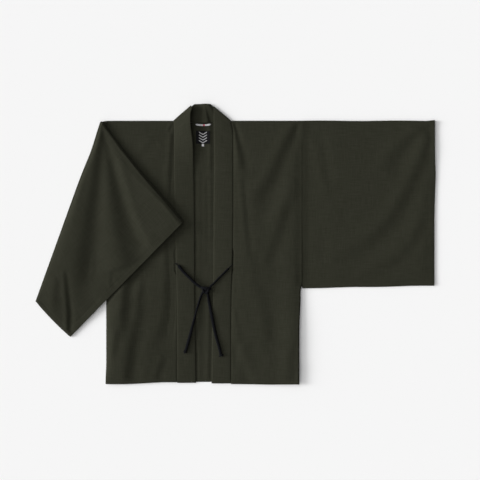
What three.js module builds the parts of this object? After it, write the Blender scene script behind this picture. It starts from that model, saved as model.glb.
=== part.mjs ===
// A hanten: a straight-cut jacket of dark wool with wide rectangular sleeves and a collar band that runs
// from hem to hem round the back of the neck. It lies face up on a surface. Its left sleeve is spread
// straight out, its right sleeve is folded forwards over the right front, and two cords tie it in front.
//
// Millimetres. +X is the wearer's left, +Y is towards the neck and +Z is up from the surface. Pieces are
// made in the garment's own frame, whose zero is the middle of the shoulder line, and the whole is then
// moved so that the origin is the middle of its footprint.
import * as THREE from "three";

// ---- Driving dimensions ------------------------------------------------------------------------------

const CLOTH = 1.2; // wall of one layer of wool
const SEAM_GAP = 0.3; // clearance between two pieces that are sewn together
const HALF_LOFT = 1.1; // from the middle of a sleeve pressed flat to the middle of either layer

const BODY_WIDTH = 600;
const BODY_LENGTH = 812; // shoulder line to hem
const NECK_WIDTH = 185; // of the notch in the back
const BACK_NECK_DROP = 4; // the back's neck edge lies this far below the shoulder line

const BAND_THICK = 2.4; // two layers of wool
const BAND_STAND = 52.8; // how far the band stands above the shoulder line behind the neck
const TIE_SLIT = { top: -388, bottom: -482 }; // where the band seams are left open for the ties

// Each side as laid, in distances from the middle: where the band is sewn on and where its free edge
// runs, at the shoulder and at the hem, and between which shares of the length the seam bends. slit is
// how far the seam opens for a tie, curl how far the free edge lifts off the back at the neck, and
// corner the upper corner of the band behind the neck. The band turns back on the line from turnSeam
// to turnFree.
const LEFT = {
  side: 1,
  seamTop: 92.6,
  seamHem: 86,
  bend: [0.35, 0.8],
  freeTop: 33,
  freeHem: 25.2,
  slit: 3.6,
  curl: 1.6,
  turnSeam: [85.6, -2.6],
  turnFree: [31, 43],
  corner: [22.6, 52.2],
};
const RIGHT = {
  side: -1,
  seamTop: 92,
  seamHem: 80.5,
  bend: [0.1, 0.85],
  freeTop: 29.8,
  freeHem: 23,
  slit: 4.6,
  curl: 10,
  turnSeam: [91.6, -2.3],
  turnFree: [31.3, 37.6],
  corner: [27.6, 51.9],
};

const SLEEVE_LENGTH = 418; // armhole seam to cuff
const SLEEVE_DEPTH = 518.5; // fold at the top to seam at the bottom, at the armhole
const CUFF_DEPTH = 510.5;

// Corners of the folded sleeve, in the garment's frame.
const FOLD_TOP = [-318, -1];
const FOLD_BOTTOM = [-519.5, -560];
const FLAP_CUFF_TOP = [-62.5, -314];
const FLAP_CUFF_BOTTOM = [-411.5, -669];
const UNDERARM = [-301, -515];
const FOLD_RADIUS = 2.2; // of the turn at the fold line, to the middle of the sleeve

const LABEL = { x: -0.9, top: -31, width: 43, height: 40 };
const SIZE_TAB = { width: 6.8, height: 7.4 };
const TRIM_THICK = 0.8;

const CORD_DIAMETER = 7;
const CORD_SIDES = 8;

// ---- Heights of the layers above the surface ---------------------------------------------------------

const BACK_TOP = CLOTH;
const FRONT_MIDDLE = BACK_TOP + SEAM_GAP + CLOTH / 2;
const BAND_MIDDLE = BACK_TOP + SEAM_GAP + BAND_THICK / 2;
const SLEEVE_MIDDLE = CLOTH / 2 + HALF_LOFT;
const FLAP_MIDDLE = SLEEVE_MIDDLE + 2 * FOLD_RADIUS;

// ---- Soft folds of the cloth -------------------------------------------------------------------------
// Each row is one ridge (height above 0) or trough (below 0): the line it follows in plan, from where to
// where, its half width and its height.

const LEFT_FRONT_FOLDS = [
  { from: [104, -12], to: [142, -160], halfWidth: 16, height: -1.6 },
  { from: [112, -150], to: [134, -420], halfWidth: 22, height: 1.4 },
  { from: [148, -270], to: [214, -690], halfWidth: 24, height: -1.5 },
  { from: [295, -10], to: [165, -258], halfWidth: 20, height: -1.7 },
  { from: [262, -120], to: [180, -330], halfWidth: 26, height: 1.3 },
  { from: [272, -230], to: [196, -460], halfWidth: 20, height: -1.5 },
  { from: [240, -480], to: [252, -790], halfWidth: 34, height: 1.2 },
];

const RIGHT_FRONT_FOLDS = [
  { from: [-104, -12], to: [-108, -260], halfWidth: 14, height: -1.4 },
  { from: [-276, -600], to: [-272, -800], halfWidth: 26, height: 1.8 },
  { from: [-238, -520], to: [-246, -700], halfWidth: 16, height: -1.4 },
  { from: [-186, -500], to: [-232, -808], halfWidth: 18, height: -1.8 },
  { from: [-108, -520], to: [-142, -800], halfWidth: 18, height: -1.6 },
  { from: [-150, -540], to: [-176, -790], halfWidth: 24, height: 1.2 },
];

const LEFT_SLEEVE_FOLDS = [
  { from: [703, -30], to: [588, -300], halfWidth: 22, height: -1.8 },
  { from: [588, -300], to: [415, -418], halfWidth: 24, height: -1.3 },
  { from: [700, -8], to: [572, -150], halfWidth: 22, height: -1.4 },
  { from: [650, -80], to: [480, -330], halfWidth: 34, height: 1.4 },
  { from: [352, -70], to: [405, -220], halfWidth: 20, height: -1.0 },
  { from: [668, -335], to: [545, -460], halfWidth: 20, height: -0.9 },
];

const FLAP_FOLDS = [
  { from: [-322, -60], to: [-384, -540], halfWidth: 30, height: -2.6 },
  { from: [-308, -60], to: [-320, -540], halfWidth: 24, height: 3.0 },
  { from: [-294, -80], to: [-236, -450], halfWidth: 24, height: -2.4 },
  { from: [-272, -90], to: [-168, -390], halfWidth: 22, height: 3.2 },
  { from: [-422, -470], to: [-418, -640], halfWidth: 12, height: -2.0 },
];

// ---- Helpers -----------------------------------------------------------------------------------------

const mix = (a, b, share) => a + (b - a) * share;
const smooth = (low, high, value) => THREE.MathUtils.smoothstep(value, low, high);
const mixPoint = (a, b, share) => [mix(a[0], b[0], share), mix(a[1], b[1], share)];

// How far a point in plan is from a fold's line, and how far along it, from 0 to 1.
function nearLine(fold, x, y) {
  const [x0, y0] = fold.from;
  const dx = fold.to[0] - x0;
  const dy = fold.to[1] - y0;
  const along = THREE.MathUtils.clamp(((x - x0) * dx + (y - y0) * dy) / (dx * dx + dy * dy), 0, 1);
  return { along, away: Math.hypot(x - x0 - along * dx, y - y0 - along * dy) };
}

// The height that a table of folds gives at a point. A fold fades out towards both its ends.
function relief(folds, x, y) {
  let height = 0;
  for (const fold of folds) {
    const { along, away } = nearLine(fold, x, y);
    const fade = Math.sin(Math.PI * mix(0.12, 0.88, along));
    height += fold.height * fade * Math.exp(-((away / fold.halfWidth) ** 2));
  }
  return height;
}

// The unit normal at one point of a grid of points.
function normalAt(grid, i, j, isRing) {
  const lastRow = grid.length - 1;
  const columns = grid[0].length;
  const before = isRing ? (j + columns - 1) % columns : Math.max(j - 1, 0);
  const after = isRing ? (j + 1) % columns : Math.min(j + 1, columns - 1);
  const across = grid[i][after].clone().sub(grid[i][before]);
  const along = grid[Math.min(i + 1, lastRow)][j].clone().sub(grid[Math.max(i - 1, 0)][j]);
  return across.cross(along).normalize();
}

// A closed solid of even thickness on both sides of a grid of points. With isRing each row is a closed
// ring, and the solid is a tube that is open at its two ends.
function wall(grid, thickness, isRing = false) {
  const rows = grid.length;
  const columns = grid[0].length;
  const points = [];
  for (const side of [1, -1])
    for (let i = 0; i < rows; i++)
      for (let j = 0; j < columns; j++) {
        const offset = normalAt(grid, i, j, isRing).multiplyScalar((side * thickness) / 2);
        points.push(...grid[i][j].clone().add(offset).toArray());
      }

  const over = (i, j) => i * columns + (j % columns);
  const under = (i, j) => rows * columns + over(i, j);
  const faces = [];
  const quad = (a, b, c, d) => faces.push(a, b, c, a, c, d);
  const spans = isRing ? columns : columns - 1;
  const end = rows - 1;
  for (let j = 0; j < spans; j++) {
    for (let i = 0; i < end; i++) {
      quad(over(i, j), over(i, j + 1), over(i + 1, j + 1), over(i + 1, j));
      quad(under(i, j), under(i + 1, j), under(i + 1, j + 1), under(i, j + 1));
    }
    quad(under(0, j), under(0, j + 1), over(0, j + 1), over(0, j));
    quad(over(end, j), over(end, j + 1), under(end, j + 1), under(end, j));
  }
  for (let i = 0; i < end && !isRing; i++) {
    quad(over(i, 0), over(i + 1, 0), under(i + 1, 0), under(i, 0));
    quad(under(i, spans), under(i + 1, spans), over(i + 1, spans), over(i, spans));
  }

  const geometry = new THREE.BufferGeometry();
  geometry.setAttribute("position", new THREE.Float32BufferAttribute(points, 3));
  geometry.setIndex(faces);
  geometry.computeVertexNormals();
  return geometry;
}

// A grid of points: place(row share, column share) gives each one.
function gridOf(rows, columns, place) {
  const grid = [];
  for (let i = 0; i <= rows; i++) {
    grid.push([]);
    for (let j = 0; j <= columns; j++) grid[i].push(place(i / rows, j / columns));
  }
  return grid;
}

// ---- Body: one back and two fronts -------------------------------------------------------------------

const HALF_BODY = BODY_WIDTH / 2;
const BAND_ROWS = 20; // rows of points down a front and down the band beside it
const PANEL_COLUMNS = 9;
const EDGE_EASE = 36; // a panel lies flat at its edges and swells over this distance
const FRONT_SWELL = 1.6;
const UNDER_FLAP_SWELL = 0.5; // the right front is pressed flatter under the folded sleeve

const SKEW_START = -150; // above this the band slants towards the line that it turns back on
const TURN_CLEARANCE = 3; // the fronts keep this far off the band where it turns back
const CLEARANCE_START = -30;

// How far a section of the band slants at a given height, from 0 to 1 at the turn.
const skewAt = (half, y) => smooth(SKEW_START, half.turnSeam[1], y);

// Where a side's band seam runs at a given height, as a distance from the middle.
function bandSeam(half, y) {
  const bend = smooth(half.bend[0], half.bend[1], -y / BODY_LENGTH);
  return mix(mix(half.seamTop, half.seamHem, bend), half.turnSeam[0], skewAt(half, y));
}

// The back: a flat rectangle, notched at the top for the neck.
function backPanel() {
  const neck = NECK_WIDTH / 2 + SEAM_GAP;
  const outline = new THREE.Shape();
  outline.moveTo(-HALF_BODY, -BODY_LENGTH);
  outline.lineTo(HALF_BODY, -BODY_LENGTH);
  outline.lineTo(HALF_BODY, 0);
  outline.lineTo(neck, 0);
  outline.lineTo(neck, -BACK_NECK_DROP - SEAM_GAP);
  outline.lineTo(-neck, -BACK_NECK_DROP - SEAM_GAP);
  outline.lineTo(-neck, 0);
  outline.lineTo(-HALF_BODY, 0);
  return new THREE.ExtrudeGeometry(outline, { depth: CLOTH, bevelEnabled: false });
}

// How much the slit for a tie opens a side's band seam at a given height.
function slitGap(half, y) {
  const middle = (TIE_SLIT.top + TIE_SLIT.bottom) / 2;
  const reach = (TIE_SLIT.top - TIE_SLIT.bottom) / 2;
  return half.slit * (1 - smooth(reach * 0.55, reach, Math.abs(y - middle)));
}

// One front. swell(x, y) is its air over the back.
function frontPanel(half, folds, swell) {
  const side = half.side;
  const rows = BAND_ROWS + 1;
  const place = (rowShare, columnShare) => {
    const y = rowShare < 1 ? mix(-BODY_LENGTH, half.turnSeam[1], (rowShare * rows) / BAND_ROWS) : 0;
    const clearance = SEAM_GAP + TURN_CLEARANCE * smooth(CLEARANCE_START, 0, y);
    const inner = bandSeam(half, y) + clearance + slitGap(half, y);
    const x = side * mix(inner, HALF_BODY, side > 0 ? columnShare : 1 - columnShare);
    const fromSides = Math.min(Math.abs(x) - inner, HALF_BODY - Math.abs(x));
    const fromEnds = Math.min(-y, y + BODY_LENGTH);
    const ease = smooth(0, EDGE_EASE, fromSides) * smooth(0, EDGE_EASE, fromEnds);
    const lift = Math.max(swell(x, y) * (1 + relief(folds, x, y)), 0) * ease;
    return new THREE.Vector3(x, y, FRONT_MIDDLE + lift);
  };
  return wall(gridOf(rows, PANEL_COLUMNS, place), CLOTH);
}

// How far a point lies outside the outline of the flap's lower edge, below 0 where the flap covers it.
function belowFlap(x, y) {
  const [x0, y0] = FLAP_CUFF_BOTTOM;
  const [x1, y1] = FLAP_CUFF_TOP;
  return ((y0 - y) * (x1 - x0) - (x0 - x) * (y1 - y0)) / Math.hypot(x1 - x0, y1 - y0);
}

const rightSwell = (x, y) => mix(UNDER_FLAP_SWELL, FRONT_SWELL, smooth(10, 60, belowFlap(x, y)));

// ---- Collar: one doubled band from hem to hem round the neck -----------------------------------------

const CURL_START = -190;
const TURN_STEPS = 4;
const BACK_SHARES = [0.25, 0.6, 1]; // sections of the band from the turn to the middle of the back neck
const TURN_SEAM_HEIGHT = 4.2;

// One point across the band, from its seam edge (0) to its free edge (1), at their plan points and
// heights.
function acrossBand(seamEdge, freeEdge, seamHeight, freeHeight, share) {
  const [x, y] = mixPoint(seamEdge, freeEdge, share);
  return new THREE.Vector3(x, y, mix(seamHeight, freeHeight, share));
}

// The sections of one side of the band, from the hem to the middle of the back neck.
function halfBand(half) {
  const shares = [0, 0.5, 1];
  const onSide = ([x, y]) => [half.side * x, y];
  const turnSeam = onSide(half.turnSeam);
  const turnFree = onSide(half.turnFree);
  const sections = [];
  for (let i = 0; i <= BAND_ROWS; i++) {
    const y = mix(-BODY_LENGTH, half.turnSeam[1], i / BAND_ROWS);
    const skew = skewAt(half, y);
    const free = mix(half.freeTop, half.freeHem, -y / BODY_LENGTH);
    const seamEdge = onSide([bandSeam(half, y), y]);
    const freeEdge = onSide([mix(free, half.turnFree[0], skew), y + skew * (turnFree[1] - turnSeam[1])]);
    const seamHeight = mix(BAND_MIDDLE, TURN_SEAM_HEIGHT, smooth(-60, 0, y));
    const freeHeight = BAND_MIDDLE + half.curl * smooth(CURL_START, half.turnSeam[1], y);
    sections.push(shares.map((share) => acrossBand(seamEdge, freeEdge, seamHeight, freeHeight, share)));
  }

  // The turn: each point swings half a circle round the line from turnSeam to turnFree.
  const [dx, dy] = [turnFree[0] - turnSeam[0], turnFree[1] - turnSeam[1]];
  const outward = new THREE.Vector3(dy, -dx, 0).multiplyScalar(half.side).normalize();
  const ends = [TURN_SEAM_HEIGHT, BAND_MIDDLE + half.curl];
  for (let k = 1; k <= TURN_STEPS; k++) {
    const angle = (Math.PI * k) / TURN_STEPS;
    sections.push(
      shares.map((share) => {
        const top = mix(ends[0], ends[1], share);
        const radius = (top - BAND_THICK / 2) / 2;
        const point = acrossBand(turnSeam, turnFree, top, top, share);
        point.z = BAND_THICK / 2 + radius * (1 + Math.cos(angle));
        return point.addScaledVector(outward, radius * Math.sin(angle));
      }),
    );
  }

  // Behind the neck the band lies on the surface, with its inside up.
  const height = BAND_THICK / 2;
  const corner = onSide(half.corner);
  const freeEdges = [corner, [corner[0] / 2, BAND_STAND], [0, BAND_STAND]];
  BACK_SHARES.forEach((reached, k) => {
    const seamEdge = mixPoint(turnSeam, [0, -BACK_NECK_DROP], reached);
    sections.push(shares.map((share) => acrossBand(seamEdge, freeEdges[k], height, height, share)));
  });
  return sections;
}

function collarBand() {
  return wall([...halfBand(RIGHT), ...halfBand(LEFT).slice(0, -1).reverse()], BAND_THICK);
}

// ---- Sleeves: flattened tubes, folded at the top and sewn at the bottom ------------------------------

const LAYER_STEPS = 9; // across one layer, from the top fold to the bottom seam
const SLEEVE_SWELL = 1.6;

// One closed ring of a sleeve pressed flat: out along the over layer and back along the under layer, with
// a point at each rounded edge. middle(v) is the point halfway between the layers, with v from 0 at the
// top fold to 1 at the bottom seam, up is the way from the under layer to the over layer, and
// loft(v, layer) is that layer's distance from the middle.
function sleeveRing(middle, up, loft) {
  const layer = (v, side) => middle(v).addScaledVector(up, side * loft(v, side));
  const tip = (v, inner) => {
    const edge = middle(v);
    const outward = edge.clone().sub(middle(inner)).normalize();
    return edge.addScaledVector(outward, HALF_LOFT);
  };
  const step = 1 / LAYER_STEPS;
  const ring = [];
  for (let k = 0; k <= LAYER_STEPS; k++) ring.push(layer(k * step, 1));
  ring.push(tip(1, 1 - step));
  for (let k = LAYER_STEPS; k >= 0; k--) ring.push(layer(k * step, -1));
  ring.push(tip(0, step));
  return ring;
}

// A layer's swell and folds fade out at the sleeve's top fold and bottom seam.
const fadeAtEdges = (v) => smooth(0, 0.1, v) * smooth(0, 0.1, 1 - v);

const EDGE_INSET = HALF_LOFT + CLOTH / 2; // from a sleeve's outline to where its layers start to turn
const UP = new THREE.Vector3(0, 0, 1);

// The wearer's left sleeve, spread straight out from the body.
function spreadSleeve() {
  const rings = 8;
  const start = HALF_BODY + 2 * SEAM_GAP;
  const grid = [];
  for (let i = 0; i <= rings; i++) {
    const share = i / rings;
    const x = mix(start, HALF_BODY + SLEEVE_LENGTH, share);
    const top = -EDGE_INSET;
    const bottom = -mix(SLEEVE_DEPTH, CUFF_DEPTH, share) + EDGE_INSET;
    const middle = (v) => new THREE.Vector3(x, mix(top, bottom, v), SLEEVE_MIDDLE);
    const ease = smooth(0, 0.1, share);
    const loft = (v, layer) => {
      if (layer < 0) return HALF_LOFT;
      const lift = SLEEVE_SWELL * (1 + relief(LEFT_SLEEVE_FOLDS, x, mix(top, bottom, v)));
      return HALF_LOFT + Math.max(lift, 0) * ease * fadeAtEdges(v);
    };
    grid.push(sleeveRing(middle, UP, loft));
  }
  return wall(grid, CLOTH, true);
}

// How high the folded part of the right sleeve lies: level on the layers under it, and down towards the
// surface where it reaches past them.
const DROP_REACH = 90;
const DROP_HEIGHT = 3.6;

function flapMiddle(x, y) {
  const [x0, y0] = FOLD_BOTTOM;
  const [x1, y1] = UNDERARM;
  const pastSleeve = ((y0 - y) * (x1 - x0) - (x0 - x) * (y1 - y0)) / Math.hypot(x1 - x0, y1 - y0);
  const pastBody = -HALF_BODY - x;
  return FLAP_MIDDLE + 0.6 - DROP_HEIGHT * smooth(0, DROP_REACH, Math.min(pastSleeve, pastBody));
}

// The wearer's right sleeve: out from the armhole to the fold line, over it, and back across the front.
function foldedSleeve() {
  const armholeTop = [-HALF_BODY - 2 * SEAM_GAP, 0];
  const [runX, runY] = [FOLD_BOTTOM[0] - FOLD_TOP[0], FOLD_BOTTOM[1] - FOLD_TOP[1]];
  const foldRun = new THREE.Vector3(runX, runY, 0).normalize();
  const outward = new THREE.Vector3(foldRun.y, -foldRun.x, 0);
  const turnInset = FOLD_RADIUS + HALF_LOFT + CLOTH / 2;
  const level = () => HALF_LOFT;

  // A point between two plan points, kept clear of the outline at both ends.
  const between = (top, bottom, v) => {
    const inset = EDGE_INSET / Math.hypot(bottom[0] - top[0], bottom[1] - top[1]);
    return mixPoint(top, bottom, mix(inset, 1 - inset, v));
  };
  const axis = (v, height) => {
    const [x, y] = between(FOLD_TOP, FOLD_BOTTOM, v);
    return new THREE.Vector3(x, y, height).addScaledVector(outward, -turnInset);
  };

  const grid = [];
  const underRings = 5;
  for (let i = 0; i < underRings; i++) {
    const share = i / underRings;
    const middle = (v) => {
      const [x, y] = between(armholeTop, UNDERARM, v);
      return new THREE.Vector3(x, y, SLEEVE_MIDDLE).lerp(axis(v, SLEEVE_MIDDLE), share);
    };
    grid.push(sleeveRing(middle, UP, level));
  }

  const turnRings = 5;
  for (let i = 0; i <= turnRings; i++) {
    const angle = (Math.PI * i) / turnRings;
    const inward = UP.clone().multiplyScalar(Math.cos(angle)).addScaledVector(outward, -Math.sin(angle));
    const middle = (v) => axis(v, SLEEVE_MIDDLE + FOLD_RADIUS).addScaledVector(inward, -FOLD_RADIUS);
    grid.push(sleeveRing(middle, inward, level));
  }

  const flapRings = 10;
  const down = UP.clone().negate();
  for (let i = 1; i <= flapRings; i++) {
    const share = i / flapRings;
    const middle = (v) => {
      const start = axis(v, 0);
      const [x, y] = between(FLAP_CUFF_TOP, FLAP_CUFF_BOTTOM, v);
      const point = start.lerp(new THREE.Vector3(x, y, 0), share);
      point.z = mix(FLAP_MIDDLE, flapMiddle(point.x, point.y), smooth(0, 0.3, share));
      return point;
    };
    const ease = smooth(0, 0.2, share);
    const loft = (v, layer) => {
      if (layer > 0) return HALF_LOFT;
      const { x, y } = middle(v);
      return HALF_LOFT + Math.max(SLEEVE_SWELL + relief(FLAP_FOLDS, x, y), 0) * ease * fadeAtEdges(v);
    };
    grid.push(sleeveRing(middle, down, loft));
  }
  grid.forEach((ring) => ring.reverse());
  return wall(grid, CLOTH, true);
}

// ---- Trims inside the back neck ----------------------------------------------------------------------

// A flat woven patch sewn on the inside of the back: centre in plan, width and height.
function patch(x, y, width, height) {
  const geometry = new THREE.BoxGeometry(width, height, TRIM_THICK);
  return geometry.translate(x, y, BACK_TOP + SEAM_GAP + TRIM_THICK / 2);
}

// The hanging loop: a tape sewn down at both ends under the neck seam, slack between them.
function hangingLoop() {
  const tape = { x: 0.4, length: 49, width: 5.2, thick: 1.2, sag: 2.2, rise: 1.6, top: -7 };
  const place = (rowShare, columnShare) => {
    const bow = Math.sin(Math.PI * columnShare);
    const y = tape.top - tape.width * (1 - rowShare) - tape.sag * bow;
    const x = tape.x + tape.length * (columnShare - 0.5);
    return new THREE.Vector3(x, y, BACK_TOP + SEAM_GAP + tape.thick / 2 + tape.rise * bow);
  };
  return wall(gridOf(1, 10, place), tape.thick);
}

// ---- Ties: two cords, each on a thread loop in the band seam, tied once in front ---------------------

const THREAD_LOOP_DIAMETER = 3;
const KNOT = { centre: [9, -523, 8.6], size: [17, 11.5, 6] }; // half sizes along X, Y and Z

// Routes of the cords, hand-laid: over the bands, down to the back at the knot, and out again.
const ROUTES = {
  tie_loop_right: [
    [-87, -440, 5.8],
    [-84.5, -442.5, 6.4],
    [-81.5, -444.7, 7.6],
    [-79.6, -445.9, 8],
  ],
  tie_loop_left: [
    [91, -443.5, 5.8],
    [86.5, -449, 6.4],
    [83, -452.8, 7.6],
    [81.2, -454.4, 8],
  ],
  tie_right: [
    [-77, -447.6, 8.6],
    [-72, -453.6, 8.9],
    [-64.5, -463.5, 9],
    [-53, -475.5, 9],
    [-41, -487, 9],
    [-30, -498, 9],
    [-16, -509.5, 9],
    [-8.5, -513.9, 9.1],
  ],
  tie_left: [
    [78.5, -456.8, 8.6],
    [72, -463.5, 8.9],
    [63, -472.5, 9],
    [48, -487, 9],
    [35.5, -500, 9],
    [27, -508.5, 9],
    [24.5, -511, 9.1],
  ],
  tie_tail_right: [
    [-3.5, -536, 7.2],
    [-9, -549, 5.8],
    [-15.5, -569, 5.6],
    [-22.5, -595, 7.8],
    [-30.5, -625, 8.9],
    [-39.5, -660, 8.9],
    [-49, -694, 8.9],
    [-53.6, -709.8, 8.9],
  ],
  tie_tail_left: [
    [14.8, -537, 7.5],
    [15.5, -541, 7],
    [18.5, -562, 5.8],
    [22.5, -583, 6],
    [27, -606, 8.2],
    [32.5, -634, 8.9],
    [39.5, -665, 8.9],
    [48.5, -698, 8.9],
    [53.3, -717.2, 8.9],
  ],
};
const END_KNOT_SIZE = [5.8, 4.4, 4.4];
const END_KNOTS = {
  tie_end_left: [56, -725.2, 8.8],
  tie_end_right: [-55.4, -716.2, 8.8],
};

function cord(points, diameter) {
  const path = new THREE.CatmullRomCurve3(points.map((point) => new THREE.Vector3(...point)));
  const corners = [];
  for (let k = 0; k < CORD_SIDES; k++) {
    const angle = (2 * Math.PI * k) / CORD_SIDES;
    corners.push(new THREE.Vector2(Math.cos(angle), Math.sin(angle)).multiplyScalar(diameter / 2));
  }
  const steps = Math.max(4, Math.round(path.getLength() / (2.2 * diameter)));
  const section = new THREE.Shape(corners);
  return new THREE.ExtrudeGeometry(section, { steps, extrudePath: path, bevelEnabled: false });
}

const lump = (size, centre) => new THREE.SphereGeometry(1, 12, 8).scale(...size).translate(...centre);

// ---- Materials ---------------------------------------------------------------------------------------

function matt(name, color, roughness) {
  return new THREE.MeshStandardMaterial({ name, color, roughness, metalness: 0 });
}

const wool = matt("wool", 0x2a2921, 0.95);
const cordBlack = matt("cord", 0x121314, 0.85);
const labelBlack = matt("label", 0x0e0e14, 0.7);
const tapeWhite = matt("tape", 0xb9b8ba, 0.8);

// ---- The jacket --------------------------------------------------------------------------------------

const garment = new THREE.Group();

function add(name, geometry, material) {
  const mesh = new THREE.Mesh(geometry, material);
  mesh.name = name;
  garment.add(mesh);
}

add("back", backPanel(), wool);
add("front_left", frontPanel(LEFT, LEFT_FRONT_FOLDS, () => FRONT_SWELL), wool);
add("front_right", frontPanel(RIGHT, RIGHT_FRONT_FOLDS, rightSwell), wool);
add("collar", collarBand(), wool);
add("sleeve_left", spreadSleeve(), wool);
add("sleeve_right", foldedSleeve(), wool);
const labelBottom = LABEL.top - LABEL.height;
const tabMiddle = labelBottom - SEAM_GAP - SIZE_TAB.height / 2;
add("neck_label", patch(LABEL.x, LABEL.top - LABEL.height / 2, LABEL.width, LABEL.height), labelBlack);
add("size_tab", patch(LABEL.x, tabMiddle, SIZE_TAB.width, SIZE_TAB.height), tapeWhite);
add("hanging_loop", hangingLoop(), tapeWhite);
for (const [name, points] of Object.entries(ROUTES))
  add(name, cord(points, name.includes("loop") ? THREAD_LOOP_DIAMETER : CORD_DIAMETER), cordBlack);
add("tie_knot", lump(KNOT.size, KNOT.centre), cordBlack);
for (const [name, centre] of Object.entries(END_KNOTS)) add(name, lump(END_KNOT_SIZE, centre), cordBlack);

// The origin is the middle of the footprint, on the surface.
const box = new THREE.Box3().setFromObject(garment, true);
garment.position.set(-(box.min.x + box.max.x) / 2, -(box.min.y + box.max.y) / 2, -box.min.z);

const hanten = new THREE.Group();
hanten.add(garment);

export default hanten;
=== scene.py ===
import math

import bpy
import numpy as np
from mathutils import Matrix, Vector, noise


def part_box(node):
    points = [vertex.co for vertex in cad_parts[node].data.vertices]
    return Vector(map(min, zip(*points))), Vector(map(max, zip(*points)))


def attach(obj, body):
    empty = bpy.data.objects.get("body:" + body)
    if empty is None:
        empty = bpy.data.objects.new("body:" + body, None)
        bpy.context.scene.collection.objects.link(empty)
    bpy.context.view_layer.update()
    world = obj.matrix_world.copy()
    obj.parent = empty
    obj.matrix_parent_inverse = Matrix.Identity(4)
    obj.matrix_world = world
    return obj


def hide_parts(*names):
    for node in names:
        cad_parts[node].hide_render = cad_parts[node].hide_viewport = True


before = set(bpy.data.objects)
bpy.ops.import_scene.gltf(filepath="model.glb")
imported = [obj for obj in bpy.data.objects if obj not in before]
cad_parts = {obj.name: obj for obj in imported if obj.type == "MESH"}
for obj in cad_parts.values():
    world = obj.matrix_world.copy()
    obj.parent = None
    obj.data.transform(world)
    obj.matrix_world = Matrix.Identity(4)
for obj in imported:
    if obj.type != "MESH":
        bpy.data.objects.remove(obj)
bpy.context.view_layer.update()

# ---- Back ------------------------------------------------------------------------------------------
# The back is one straight-cut panel of dark wool, lying on its face side with its inside up. It is
# hemmed at the bottom and notched at the neck, and everything else is sewn to it or lies on it.

back_low, back_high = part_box("back")
MIDDLE_X = (back_low.x + back_high.x) / 2
SHOULDER_Y = back_high.y
HALF_BODY = (back_high.x - back_low.x) * 500  # from here on sizes are millimetres from the middle
BODY_LENGTH = (back_high.y - back_low.y) * 1000  # of the shoulder line, and become metres in the mesh
CLOTH = 1.2
BACK_MIDDLE = CLOTH / 2
BACK_STEP = 4
BACK_SHORTER = 3.4  # the back hangs a little shorter than the fronts that lie on it
NECK_HALF = 92
NECK_DROP = 4.3
HEM = 20


def smooth(low, high, value):
    """0 below low, 1 above high and a soft step between them."""
    share = np.clip((value - low) / (high - low), 0, 1)
    return share * share * (3 - 2 * share)


def rounded(distance, width):
    """0 at an edge and 1 beyond width, along a quarter of an ellipse, as a soft fold rounds off."""
    return np.sqrt(1 - np.clip(1 - distance / width, 0, 1) ** 2)


def bump(centre, width, value):
    """1 at centre, and a soft bell about it."""
    return np.exp(-(((value - centre) / width) ** 2))


def unevenness(x, y, size, seed):
    """Soft random waves from -1 to 1, about size across, the same on every run."""
    places = zip(x.ravel() / size, y.ravel() / size)
    return np.array([noise.noise((a, b, seed)) for a, b in places]).reshape(x.shape)


def relief(x, y, folds):
    """Height of a table of soft folds. Each stands up on the viewer's left of its line and sinks on the
    right. width is how far the crest is from the line, at the line's two ends, height how far it
    stands up there, and spread how much wider and deeper the trough is than the crest."""
    height = np.zeros_like(x)
    for fold in folds:
        points = np.array(fold["line"], float)
        steps = np.diff(points, axis=0)
        runs = np.hypot(steps[:, 0], steps[:, 1])
        near = np.full(x.shape, np.inf)
        side, share = np.zeros_like(x), np.zeros_like(x)
        for k, (start, step) in enumerate(zip(points, steps)):
            along = np.clip(((x - start[0]) * step[0] + (y - start[1]) * step[1]) / runs[k] ** 2, 0, 1)
            dx, dy = x - start[0] - along * step[0], y - start[1] - along * step[1]
            away = np.hypot(dx, dy)
            closer = away < near
            near = np.where(closer, away, near)
            side = np.where(closer, np.sign(step[0] * dy - step[1] * dx) * away, side)
            share = np.where(closer, (runs[:k].sum() + along * runs[k]) / runs.sum(), share)
        width, tall = (fold[key][0] + (fold[key][1] - fold[key][0]) * share for key in ("width", "height"))
        spread = np.where(side > 0, fold.get("spread", 1), 1)
        out = side / width / spread
        fade = smooth(0, fold.get("start", 0.12), share) * smooth(0, fold.get("end", 0.35), 1 - share)
        height -= tall * spread * fade * out * np.exp(0.5 - out ** 2 / 2)
    return height


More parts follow.
